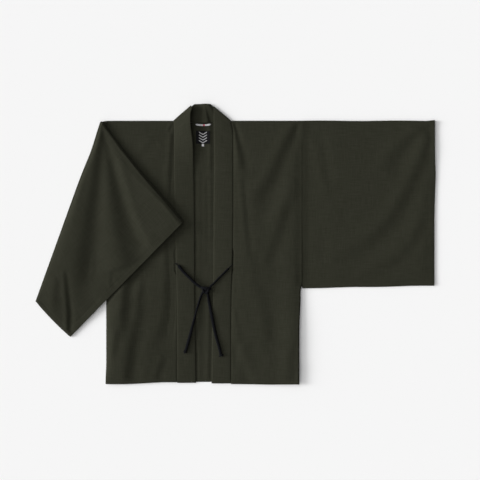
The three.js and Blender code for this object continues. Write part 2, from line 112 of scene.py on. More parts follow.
def cloth(name, points, flat, thickness=CLOTH, ring=False):
    """A piece of cloth of even thickness from rows of points in millimetres. flat holds each point's
    place in the cut, in millimetres across and along, and becomes the UV map, in metres. With ring
    each row closes on itself, and flat has one column more."""
    rows, columns = points.shape[:2]
    spans = columns if ring else columns - 1
    i, j = (a.ravel() for a in np.meshgrid(np.arange(rows - 1), np.arange(spans), indexing="ij"))
    corners = [(i, j), (i, j + 1), (i + 1, j + 1), (i + 1, j)]
    faces = np.stack([r * columns + c % columns for r, c in corners], axis=-1)
    places = points.reshape(-1, 3) / 1000 + (MIDDLE_X, SHOULDER_Y, 0)
    mesh = bpy.data.meshes.new(name)
    mesh.from_pydata(places.tolist(), [], faces.tolist())
    uv = np.stack([flat[r, c] for r, c in corners], axis=1).reshape(-1, 2) / 1000
    mesh.uv_layers.new(name="cut").data.foreach_set("uv", uv.astype(np.float32).ravel())
    piece = bpy.data.objects.new(name, mesh)
    bpy.context.scene.collection.objects.link(piece)
    bpy.ops.object.select_all(action="DESELECT")
    piece.select_set(True)
    bpy.context.view_layer.objects.active = piece
    if thickness:
        wall = piece.modifiers.new("wall", "SOLIDIFY")
        wall.thickness = thickness / 1000
        wall.offset = 0
        bpy.ops.object.modifier_apply(modifier="wall")
    bpy.ops.object.shade_smooth_by_angle(angle=math.radians(50))
    return piece


def linear(sheet_hex):
    """An sRGB hex colour as linear red, green, blue and alpha."""
    parts = [int(sheet_hex[k:k + 2], 16) / 255 for k in (1, 3, 5)]
    return [p / 12.92 if p <= 0.04045 else ((p + 0.055) / 1.055) ** 2.4 for p in parts] + [1.0]


def add_node(tree, kind, settings):
    """Adds a shader node. A key that names a property of the node sets it; any other key is an input,
    by name or number, and takes a value or another node's output."""
    node = tree.nodes.new("ShaderNode" + kind)
    for key, value in settings.items():
        if isinstance(key, str) and hasattr(node, key):
            setattr(node, key, value)
        elif isinstance(value, bpy.types.NodeSocket):
            tree.links.new(value, node.inputs[key])
        else:
            node.inputs[key].default_value = value
    return node


def new_material(name, roughness, specular):
    """A new material, its node tree and its shader."""
    material = bpy.data.materials.new(name)
    material.use_nodes = True
    shader = material.node_tree.nodes["Principled BSDF"]
    shader.inputs["Roughness"].default_value = roughness
    shader.inputs["Specular IOR Level"].default_value = specular
    return material, material.node_tree, shader


YARN = 1.6e-3  # the yarns lie 0.5 mm apart, and are drawn three times as coarse so that they show
SLUB_ACROSS = 2.4e-3  # a thicker or paler length of yarn, drawn a few yarns wide
SLUB_ALONG = 45e-3
NAP = 900.0  # tufts to a metre, a little over a millimetre apart


def woven_wool(name, dark_yarn, pale_yarn):
    """Worsted wool in a plain weave, piece-dyed a dark olive grey. Its fibres take the dye unevenly, so
    single yarns show as faint paler and darker streaks both ways, and its short nap keeps it matt."""
    material, tree, shader = new_material(name, 0.92, 0.12)
    cut = add_node(tree, "TexCoord", {}).outputs["UV"]
    streaks = []
    for across, along, seed in ((SLUB_ACROSS, SLUB_ALONG, 0.0), (SLUB_ALONG, SLUB_ACROSS, 7.0)):
        place = add_node(tree, "Mapping", {0: cut, "Location": (seed, seed, seed),
                                           "Scale": (1 / across, 1 / along, 1)})
        streak = add_node(tree, "TexNoise", {"Vector": place.outputs[0], "Scale": 1.0, "Detail": 2.0,
                                             "Roughness": 0.6})
        streaks.append(streak.outputs["Fac"])
    both = add_node(tree, "Math", {"operation": "ADD", 0: streaks[0], 1: streaks[1]})
    heather = add_node(tree, "MapRange", {"Value": both.outputs[0], "From Min": 0.6, "From Max": 1.4})
    colour = add_node(tree, "Mix", {"data_type": "RGBA", 0: heather.outputs[0],
                                    6: linear(dark_yarn), 7: linear(pale_yarn)})
    tree.links.new(colour.outputs[2], shader.inputs["Base Color"])

    split = add_node(tree, "SeparateXYZ", {0: cut})
    waves = []
    for axis in (0, 1):
        turns = add_node(tree, "Math", {"operation": "MULTIPLY", 0: split.outputs[axis], 1: math.tau / YARN})
        waves.append(add_node(tree, "Math", {"operation": "SINE", 0: turns.outputs[0]}).outputs[0])
    weave = add_node(tree, "Math", {"operation": "MULTIPLY", 0: waves[0], 1: waves[1]})
    nap = add_node(tree, "TexNoise", {"Vector": cut, "Scale": NAP, "Detail": 2.0})
    surface = add_node(tree, "Math", {"operation": "MULTIPLY_ADD", 0: weave.outputs[0], 1: 0.35,
                                      2: nap.outputs["Fac"]})
    grain = add_node(tree, "Bump", {"Strength": 0.4, "Distance": 0.00025, "Height": surface.outputs[0]})
    tree.links.new(grain.outputs[0], shader.inputs["Normal"])
    shader.inputs["Sheen Weight"].default_value = 0.06
    shader.inputs["Sheen Roughness"].default_value = 0.5
    shader.inputs["Sheen Tint"].default_value = linear("#a8a898")
    return material


wool = woven_wool("olive_grey_worsted_wool", "#23241a", "#303027")

OPENING = (-24, 30)  # where the back's inside shows between the two bands
UNDER_FRONTS, IN_OPENING = 0.5, 3  # the most that its ripples rise, and how much more where it shows
BACK_AIR, BACK_WAVES = 0.4, 0.3  # how far it lies off the surface, and how unevenly
STITCH_DIP, STITCH_WIDTH = 0.1, 2.4  # of the row of stitches along its hem
CORNER_LIFT, HEM_LIFT = 4.8, 2.5
SIDE_EASES = {  # how far each side of the body runs out, and between which heights
    -1: [(2.2, -740, -BODY_LENGTH)],
    1: [(1.3, -600, -540), (3.9, -530, -508), (-2.8, -560, -660)],
}
BACK_RIPPLES = [
    {"line": [(25, -3), (27, -60), (26, -130), (26, -190)], "width": (6, 5), "height": (2.0, 1.2),
     "start": 0.02},
    {"line": [(27, -170), (27, -300), (26, -420)], "width": (5, 5), "height": (0.8, 0.5), "start": 0.1},
    {"line": [(-8, -130), (-6, -420), (-8, -560)], "width": (6, 7), "height": (0.4, 0.4), "end": 0.3},
    {"line": [(8, -170), (10, -330), (6, -500)], "width": (6, 6), "height": (0.5, 0.4)},
    {"line": [(23, -520), (22, -680), (20, -808)], "width": (6, 7), "height": (1.1, 1.1), "end": 0.05},
    {"line": [(-17, -600), (-17, -700), (-17, -808)], "width": (4, 5), "height": (-0.4, -0.9), "end": 0.05},
]


def side_edge(side, y):
    """How far from the middle a side of the body lies, a little uneven as laid."""
    return HALF_BODY + sum(amount * smooth(start, end, y) for amount, start, end in SIDE_EASES[side])


def corner_lift(x, y):
    """How far the lower left corner of the body, and the hem beside it, stand off the surface."""
    corner = CORNER_LIFT * smooth(205, 300, x) * smooth(-500, -660, y)
    return corner + HEM_LIFT * smooth(120, 220, x) * smooth(-720, -806, y)


def back_height(x, y):
    """Height of the middle of the back's cloth."""
    edges = smooth(0, 30, HALF_BODY - abs(x)) * smooth(0, 14, y + BODY_LENGTH)
    lift = BACK_AIR + BACK_WAVES * unevenness(x, y, 90, 1.5) + relief(x, y, BACK_RIPPLES)
    open_there = smooth(0, 7, x - OPENING[0]) * smooth(0, 7, OPENING[1] - x)
    stitch = bump(HEM - BODY_LENGTH + BACK_SHORTER, STITCH_WIDTH, y)
    lying = BACK_MIDDLE + np.clip(lift, 0, UNDER_FRONTS + IN_OPENING * open_there) * edges
    return lying + STITCH_DIP * (1 - stitch) + corner_lift(x, y)


def back_panel():
    along = np.linspace(0, 1, int(BODY_LENGTH / BACK_STEP))[:, None]
    across = np.linspace(-1, 1, int(2 * HALF_BODY / BACK_STEP))[None, :]
    top = -NECK_DROP * (1 - smooth(NECK_HALF - 5, NECK_HALF, abs(across * HALF_BODY)))
    y = -(BODY_LENGTH - BACK_SHORTER) * (1 - along) + top * along
    x = across * np.where(across < 0, side_edge(-1, y), side_edge(1, y))
    return cloth("back_panel", np.stack([x, y, back_height(x, y)], axis=-1), np.stack([x, y], axis=-1))


back = back_panel()
back.data.materials.append(wool)
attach(back, "root")
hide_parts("back")

# ---- Fronts ----------------------------------------------------------------------------------------
# The two fronts are straight-cut panels of the same wool. Each is sewn to the back at the shoulder and
# side, turned up at the hem, and sewn into the collar band along its inner edge.

SEAM_GAP = 0.3
FRONT_MIDDLE = CLOTH + SEAM_GAP + CLOTH / 2
FRONT_STEP = 3
FRONT_AIR = 6  # how far a front stands off the back
FRONT_ROLL = 2.4  # and how much of that it gains at once at its edges
PRESSED_AIR = 0.9  # and all of it where the folded sleeve lies on it
SIDE_AIR = 8.8  # the right front stands off the back more along its side, below the folded sleeve
FALL_AIR, FALL_SWELL = 3.2, 2.6  # and falls this much from there towards the band
UNDERARM_AIR = 1.4  # the left front stands off the back this much more below its armhole
FRONT_WAVES = 0.5
FRONT_SPAN = 230  # the widest that a front can be, which sets its number of points
FRONT_EASE = 60  # a front reaches its full height this far in from the shoulder and the hem
SEAM_ROUND, SHOULDER_ROUND, HEM_ROUND = 9, 12, 7  # how wide its other edges round off
FRONT_LONGER, HEM_REACH = 3.0, 5  # how far its hem hangs below the back's, and the most that it may
SEAM_PUCKER, HEM_PUCKER, PUCKER_REACH = 0.12, 0.14, 7
HEM_DIP, HEM_WALL = 0.7, 0.4  # how deep the hem's stitches sink, and how much thicker it is turned up
SLIT_TOP, SLIT_BOTTOM = -388, -482
SKEW_START, SKEW_END = -40, -2.4  # between these the band seam slants to the line it turns back on
SIDES = {  # where each side's band seam runs, from shoulder to hem, and how wide its slit opens; how wide
    # the front's side edge rounds and how far it lies inside the back's, and its lift along the seam
    "left": {"side": 1, "seam_top": 92.6, "turn_x": 86, "seam_hem": 86, "bend": (0.35, 0.8), "slit": 3.6,
             "round": 4, "inset": 0.4, "seam_lift": 1.4},
    "right": {"side": -1, "seam_top": 90.4, "turn_x": 91.6, "seam_hem": 80.5, "bend": (0.1, 0.85),
              "slit": 6.4, "round": 34, "inset": 0.1, "seam_lift": 0},
}
LEFT_FRONT_FOLDS = [
    {"line": [(88, -4), (93, -20), (102, -50), (110, -80), (116, -105), (121, -140), (125, -180)],
     "width": (8, 14), "height": (2.4, 1.7), "start": 0.02},
    {"line": [(119, -160), (124, -230), (130, -290), (136, -350), (141, -400), (146, -440)],
     "width": (8, 9), "height": (0.7, 0.7), "end": 0.15},
    {"line": [(170, -190), (172, -250), (168, -300)], "width": (26, 24), "height": (0.6, 0.5), "start": 0.3},
    {"line": [(150, -395), (157, -440), (161, -500), (166, -550)], "width": (18, 18), "height": (0.9, 0.8),
     "start": 0.25},
    {"line": [(172, -500), (186, -560), (196, -610), (205, -655), (212, -700)], "width": (22, 20),
     "height": (0.8, 1.3), "spread": 1.2, "end": 0.15},
    {"line": [(296, -4), (281, -25), (264, -60), (245, -100), (223, -150), (205, -185), (182, -222),
              (160, -255), (148, -275)], "width": (15, 24), "height": (2.3, 2.9), "start": 0.05,
     "end": 0.28},
    {"line": [(268, -160), (240, -235), (210, -290), (182, -340)], "width": (18, 18), "height": (-1.0, -1.0),
     "start": 0.2, "end": 0.2},
    {"line": [(270, -215), (258, -270), (249, -305), (236, -345), (221, -385), (204, -430), (192, -478)],
     "width": (15, 20), "height": (1.2, 1.5), "start": 0.3, "end": 0.25},
    {"line": [(102, -580), (108, -640), (120, -700)], "width": (10, 12), "height": (0.7, 0.7)},
    {"line": [(104, -690), (122, -740), (140, -780), (153, -814)], "width": (14, 14), "height": (-1.0, -1.0),
     "end": 0.05},
    {"line": [(176, -690), (180, -750), (182, -812)], "width": (30, 32), "height": (-0.8, -1.0),
     "end": 0.05},
    {"line": [(182, -350), (188, -430), (196, -520)], "width": (26, 28), "height": (0.7, 0.8)},
    {"line": [(276, -700), (272, -760), (268, -812)], "width": (16, 18), "height": (0.8, 1.2), "end": 0.05},
    {"line": [(262, -430), (255, -560), (250, -700), (248, -800)], "width": (30, 34), "height": (-0.8, -0.8),
     "start": 0.2, "end": 0.1},
]
RIGHT_FRONT_FOLDS = [
    {"line": [(-90, -30), (-93, -60), (-96, -100), (-101, -186), (-103, -310)], "width": (9, 13),
     "height": (1.5, 1.9), "start": 0.08},
    {"line": [(-92, -3), (-111, -36)], "width": (4, 5), "height": (0.7, 0.7), "start": 0.05},
    {"line": [(-236, -440), (-238, -500), (-241, -550), (-246, -600), (-247, -640), (-250, -680)],
     "width": (12, 13), "height": (1.8, 1.0), "spread": 1.6, "start": 0.2},
    {"line": [(-262, -640), (-272, -690), (-279, -755)], "width": (11, 11), "height": (1.0, 1.0)},
    {"line": [(-188, -470), (-195, -530), (-200, -600), (-208, -650), (-218, -700), (-227, -750),
              (-235, -814)], "width": (11, 17), "height": (1.4, 2.2), "spread": 1.3, "end": 0.03},
    {"line": [(-110, -370), (-110, -440), (-109, -500), (-109, -560), (-114, -610), (-128, -650),
              (-146, -690), (-157, -735)], "width": (12, 19), "height": (1.3, 2.0), "spread": 1.3,
     "start": 0.05},
    {"line": [(-114, -730), (-130, -755), (-140, -785), (-144, -814)], "width": (11, 12),
     "height": (1.0, 1.1), "end": 0.05},
    {"line": [(-166, -560), (-170, -680), (-172, -814)], "width": (30, 30), "height": (0.7, 1.1),
     "end": 0.03},
    {"line": [(-150, -60), (-196, -110)], "width": (14, 12), "height": (0.6, 0.6)},
]
FLAP_CUFF = [(-62.5, -314), (-411.5, -669)]  # the folded sleeve's cuff, top corner to bottom one
FOLD_LINE = [(-318, -1), (-519.5, -560)]  # and the line it is folded on, from the shoulder down


def band_seam(sides, y):
    """How far from the middle a side's band is sewn on, at a height."""
    bend = smooth(*sides["bend"], -y / BODY_LENGTH)
    straight = sides["seam_top"] + (sides["seam_hem"] - sides["seam_top"]) * bend
    return straight + (sides["turn_x"] - straight) * smooth(SKEW_START, SKEW_END, y)


def slit_gap(sides, y):
    """How far the seam stands open at the slit that the tie's thread loop comes out of."""
    reach = (SLIT_TOP - SLIT_BOTTOM) / 2
    return sides["slit"] * (1 - smooth(reach * 0.55, reach, abs(y - (SLIT_TOP + SLIT_BOTTOM) / 2)))


def past(line, x, y):
    """How far a point lies to the left of a line, seen down it."""
    (x0, y0), (x1, y1) = line
    return ((x1 - x0) * (y - y0) - (y1 - y0) * (x - x0)) / math.hypot(x1 - x0, y1 - y0)


def left_air(x, y):
    """How far the left front stands off the back."""
    return FRONT_AIR + UNDERARM_AIR * smooth(180, 285, x) * bump(-470, 80, y)


def right_air(x, y):
    """How far the right front stands off the back: pressed under the folded sleeve, free beyond it."""
    cuff_top, cuff_bottom = FLAP_CUFF
    outside = np.maximum(-past([cuff_bottom, cuff_top], x, y), past([FOLD_LINE[0], cuff_top], x, y))
    slow = 0.4 * smooth(4, 110, outside) + 0.6 * smooth(110, 330, outside)
    beside = smooth(-14, 16, outside)
    sideways = smooth(-105, -215, x) * smooth(-430, -540, y) * smooth(0, 60, outside)
    falling = (FALL_AIR + FALL_SWELL * bump(-560, 70, y)) * sideways
    at_side = smooth(-205, -265, x) * smooth(-420, -500, y)
    return (PRESSED_AIR + falling + (FRONT_AIR - PRESSED_AIR) * slow * (1 - at_side)
            + (SIDE_AIR - PRESSED_AIR) * beside * at_side)


def left_hem(x):
    """How far the left front's hem hangs below the body's length, lowest near its side."""
    return FRONT_LONGER + 1.2 * bump(207, 60, x)


def right_hem(x):
    """The same for the right front, which is drawn up towards the band."""
    return FRONT_LONGER - 5.6 * smooth(-250, -110, x)


def closer_at_ends(count):
    """Shares from 0 to 1, closer together at both ends, where the cloth turns over."""
    even = np.linspace(0, 1, count)
    return even - 0.6 * np.sin(math.tau * even) / math.tau


def front_panel(side_name, folds, air, hem_drop):
    sides = SIDES[side_name]
    side = sides["side"]
    deep = np.linspace(1, 0, int(BODY_LENGTH / FRONT_STEP))[:, None]
    share = closer_at_ends(int(FRONT_SPAN / FRONT_STEP))[None, :]
    inner = band_seam(sides, -BODY_LENGTH * deep) + SEAM_GAP + slit_gap(sides, -BODY_LENGTH * deep)
    outer = side_edge(side, -BODY_LENGTH * deep) - sides["inset"]
    x = np.sort(side * (inner + (outer - inner) * share), axis=1)
    y = -BODY_LENGTH * deep - hem_drop(x) * deep ** 4
    from_seam, from_side, from_hem = abs(x) - inner, outer - abs(x), y + BODY_LENGTH + HEM_REACH
    at_side = rounded(from_side, sides["round"])
    near_seam, near_side = smooth(0, 70, from_seam), 1
    if side > 0:
        beside_sleeve = smooth(-525, -495, y)
        at_side += (0.7 + 0.3 * smooth(0, 26, from_side) - at_side) * beside_sleeve
        near_seam = 0.6 * smooth(0, 34, from_seam) + 0.4 * smooth(0, 120, from_seam)
        near_side = 0.7 + 0.3 * smooth(0, 45, from_side)
    roll = np.minimum(np.minimum(rounded(from_seam + 1, SEAM_ROUND), at_side),
                      np.minimum(rounded(-y, SHOULDER_ROUND), rounded(from_hem, HEM_ROUND)))
    from_ends = smooth(0, FRONT_EASE, -y) * smooth(0, FRONT_EASE, from_hem)
    deep_inside = near_seam * near_side * from_ends * at_side
    share_at_edge = FRONT_ROLL / FRONT_AIR
    lift = air(x, y) * (share_at_edge * roll + (1 - share_at_edge) * deep_inside)
    lift += FRONT_WAVES * unevenness(x, y, 70, side + 3.5) * deep_inside
    beside_seam = smooth(-10, -50, y) * smooth(-520, -450, y) * (1 - smooth(0, 50, from_seam))
    lift += sides["seam_lift"] * beside_seam
    fold_room = smooth(-3, 14, from_seam) * smooth(0, 22, from_side)
    fold_room *= smooth(0, 16, -y) * smooth(0, 20, from_hem)
    lift = np.maximum(lift + relief(x, y, folds) * fold_room, 0.25 * roll)

    seam_pucker = np.sin(y / 2.1 + 3 * unevenness(x, y, 25, 5.5)) * smooth(0, 2, from_seam)
    seam_pucker *= SEAM_PUCKER * np.exp(-from_seam / PUCKER_REACH)
    hem_pucker = np.sin(x / 1.9 + 3 * unevenness(x, y, 22, 8.5))
    hem_pucker *= HEM_PUCKER * np.exp(-abs(from_hem - HEM) / PUCKER_REACH)
    at_hem = (hem_pucker - HEM_DIP * bump(HEM, 2.6, from_hem)) * roll
    turned_up = HEM_WALL * smooth(HEM + 3, HEM - 3, from_hem)
    z = np.maximum(FRONT_MIDDLE + lift + seam_pucker + turned_up + at_hem, FRONT_MIDDLE)
    z += corner_lift(x, y)
    return cloth(f"front_{side_name}_panel", np.stack([x, y, z], axis=-1), np.stack([x, y], axis=-1))


for side_name, folds, air, hem_drop in (
    ("left", LEFT_FRONT_FOLDS, left_air, left_hem),
    ("right", RIGHT_FRONT_FOLDS, right_air, right_hem),
):
    front = front_panel(side_name, folds, air, hem_drop)
    front.data.materials.append(wool)
    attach(front, "root")
    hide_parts(f"front_{side_name}")

# ---- Sleeves ---------------------------------------------------------------------------------------
# Each sleeve is one rectangle of the wool, folded along its top and seamed along its bottom: a wide
# flat tube, open at the cuff. The left one is spread out, the right one is folded over the front.

SLEEVE_LENGTH = 418
SLEEVE_DEPTH, CUFF_DEPTH = 518.5, 510.5
HALF_LOFT = 1.1  # half the space between a sleeve's two layers where it is flattest
TOP_LOFT, BOTTOM_LOFT = 2.7, 1.5  # and at its top fold and its bottom seam
SLEEVE_STEP, LAYER_STEP = 4, 3.2  # between points along a sleeve, and down it
SLEEVE_WAVES = 0.5
STITCH_ROW, SLEEVE_DIP = 12, 0.4  # how far in its seams' stitches lie, and how deep they sink
ROUND_ANGLES = np.radians([60, 30, 0, -30, -60])
UP = np.array([0.0, 0.0, 1.0])


def layer_room(v):
    """Half the space between the layers at each share of the depth, before any lift."""
    from_top, from_bottom = v * SLEEVE_DEPTH, (1 - v) * SLEEVE_DEPTH
    return (HALF_LOFT + (TOP_LOFT - HALF_LOFT) * np.exp(-from_top / 25)
            + (BOTTOM_LOFT - HALF_LOFT) * np.exp(-from_bottom / 20))


def sleeve_ring(middle, up, over, under):
    """One closed ring of a flat tube, as points. middle holds the points halfway between its layers,
    from the top fold to the bottom seam, up the way to the over layer, and over and under how far
    each layer is from the middle."""
    def turn(edge, inner, room, angles):
        outward = (edge - inner) / np.linalg.norm(edge - inner)
        return [edge + room * (math.cos(a) * outward + math.sin(a) * up) for a in angles]

    return np.concatenate([
        middle + over[:, None] * up,
        turn(middle[-1], middle[-2], under[-1], ROUND_ANGLES),
        (middle - under[:, None] * up)[::-1],
        turn(middle[0], middle[1], under[0], -ROUND_ANGLES),
    ])


def ring_cut(rings):
    """The place of every ring point in the flat cut: round the sleeve, and back from the cuff."""
    closed = np.concatenate([rings, rings[:, :1]], axis=1)
    around = np.cumsum(np.linalg.norm(np.diff(closed, axis=1, prepend=closed[:, :1]), axis=2), axis=1)
    steps = np.linalg.norm(np.diff(closed, axis=0, append=closed[-1:]), axis=2)
    return np.stack([around, np.cumsum(steps[::-1], axis=0)[::-1]], axis=-1)


LEFT_SLEEVE_FOLDS = [
    {"line": [(706, -22), (697, -60), (683, -100), (666, -150), (645, -200), (619, -250), (590, -300),
              (550, -345), (510, -378), (462, -402), (415, -418), (370, -430)], "width": (17, 28),
     "height": (1.7, 2.7), "start": 0.05},
    {"line": [(704, -2), (672, -28), (640, -58), (615, -83), (592, -112), (574, -145), (567, -195)],
     "width": (17, 26), "height": (1.8, 1.7), "start": 0.04},
    {"line": [(346, -30), (358, -80), (366, -120), (372, -160), (382, -200), (405, -250)],
     "width": (14, 17), "height": (1.2, 1.5)},
    {"line": [(364, -350), (350, -460)], "width": (14, 16), "height": (0.7, 0.8)},
    {"line": [(694, -290), (668, -335), (652, -375), (620, -412), (585, -440), (545, -460), (500, -474),
              (430, -482)], "width": (15, 20), "height": (1.2, 1.3)},
]
SLEEVE_AIR = 3.0
SLEEVE_ROLL = 0.45  # the share of the lift that is gained at once at the edges
SPREAD_START, SPREAD_CUFF = 3.8, 717.2  # its seam, from the body's side, and its cuff, from the middle
EDGE_WAVE = 0.7
SEWN_ON, CUFF_LIFT = 2.0, 2.6  # how far it stands up at its seam, and at the upper part of its cuff


def spread_sleeve():
    v = closer_at_ends(int(SLEEVE_DEPTH / LAYER_STEP))
    room = layer_room(v)
    start = HALF_BODY + SPREAD_START + 3 * smooth(0.985, 1, v)
    cuff = SPREAD_CUFF + 2.4 * bump(0.33, 0.08, v) - 1.6 * smooth(0.42, 0.62, v)
    rings = []
    for share in np.linspace(0, 1, int(SLEEVE_LENGTH / SLEEVE_STEP)):
        x = start + (cuff - start) * share
        top = 0.3 + EDGE_WAVE * math.sin(share * 11) + 2.4 * smooth(0.93, 1, share) - TOP_LOFT - CLOTH / 2
        depth = SLEEVE_DEPTH + (CUFF_DEPTH - SLEEVE_DEPTH) * share + EDGE_WAVE * math.sin(share * 13)
        y = top + (BOTTOM_LOFT + CLOTH / 2 - depth - top) * v
        from_top, from_bottom = top - y, y - y[-1]
        from_start, from_cuff = x - start, cuff - x
        roll = np.minimum(np.minimum(rounded(from_top, 18), rounded(from_bottom, 14)),
                          rounded(from_cuff + 1, 12))
        inside = smooth(0, 60, from_top) * smooth(0, 50, from_bottom) * smooth(0, 45, from_cuff)
        seam_rise = 0.15 * smooth(6, 30, from_start) + 0.85 * smooth(14, 110, from_start)
        lift = SLEEVE_AIR + SLEEVE_WAVES * unevenness(x, y, 80, 11.5)
        lift *= SLEEVE_ROLL * roll + (1 - SLEEVE_ROLL) * inside
        fold_room = smooth(0, 20, from_top) * smooth(0, 24, from_bottom) * smooth(0, 14, from_cuff)
        lift += relief(x, y, LEFT_SLEEVE_FOLDS) * fold_room
        sewn_on = SEWN_ON * (1 - smooth(0, 26, from_start)) * smooth(0, 26, from_bottom)
        stitches = bump(STITCH_ROW, 3, from_bottom) + 0.5 * bump(STITCH_ROW, 3, from_top)
        stitches += 0.5 * bump(18, 2.5, from_cuff)
        over = room + sewn_on + (np.maximum(lift, 0.2 * roll) - SLEEVE_DIP * stitches * roll) * seam_rise
        cuff_lift = CUFF_LIFT * bump(-85, 60, y) * smooth(90, 0, from_cuff)
        middle = np.stack([x, y, CLOTH / 2 + room + cuff_lift], axis=-1)
        rings.append(sleeve_ring(middle, UP, over, room))
    rings = np.array(rings)
    return cloth("sleeve_left_spread", rings, ring_cut(rings), ring=True)


UNDERARM = (-301, -515)
TURN_RADIUS = 3.6
TURN_INSET = TURN_RADIUS + HALF_LOFT + CLOTH / 2
FLAP_BOTTOM = 2 * TURN_RADIUS + CLOTH / 2  # height of the folded part's lower layer
FLAP_AIR = 5.4
FLAP_FOLDS = [
    {"line": [(-309, -15), (-313, -50), (-320, -100), (-327, -150), (-334, -200), (-343, -250), (-351, -300),
              (-357, -350), (-362, -400), (-369, -460), (-377, -520), (-385, -580)], "width": (10, 40),
     "height": (2.3, 5.0), "start": 0.03, "end": 0.25},
    {"line": [(-302, -45), (-296, -100), (-289, -150), (-281, -200), (-271, -250), (-261, -300),
              (-250, -350), (-236, -400), (-220, -458)], "width": (7, 40), "height": (1.1, 5.2),
     "start": 0.1, "end": 0.05},
    {"line": [(-274, -100), (-260, -155), (-246, -200), (-233, -250), (-215, -300), (-194, -350),
              (-164, -396)], "width": (13, 15), "height": (-1.5, -1.7), "end": 0.1},
    {"line": [(-428, -455), (-424, -500), (-419, -550), (-416, -600), (-418, -655)], "width": (7, 8),
     "height": (0.9, 2.2), "end": 0.02},
    {"line": [(-324, -370), (-332, -470), (-344, -580)], "width": (25, 27), "height": (-0.9, -1.3),
     "end": 0.2},
    {"line": [(-438, -470), (-434, -560), (-428, -640)], "width": (24, 24), "height": (0.6, 1.2),
     "end": 0.1},
    {"line": [(-448, -480), (-455, -545), (-458, -610)], "width": (10, 11), "height": (0.6, 0.6)},
    {"line": [(-283, -465), (-286, -500), (-276, -530)], "width": (6, 6), "height": (0.5, 0.5)},
]
OVER_BODY = 5.5  # how much more the folded part stands up towards its top edge, where it lies on the band
RISE_LINE = [(-300, -60), (-225, -450)]  # and the line that this starts from
FLAP_SHORT, FLAP_LONG = 110, 410  # its length along its bottom edge and along its top edge
TOP_HOLLOW = ((0, 0.25, 0.5, 0.8, 1), (0, 4.2, 3.4, -2.2, -3))  # how far its top edge bows in, along it
BOTTOM_BULGE = 4  # and its bottom edge out
MIDDLE_SAG, TOP_SAG = 1.2, 2.4


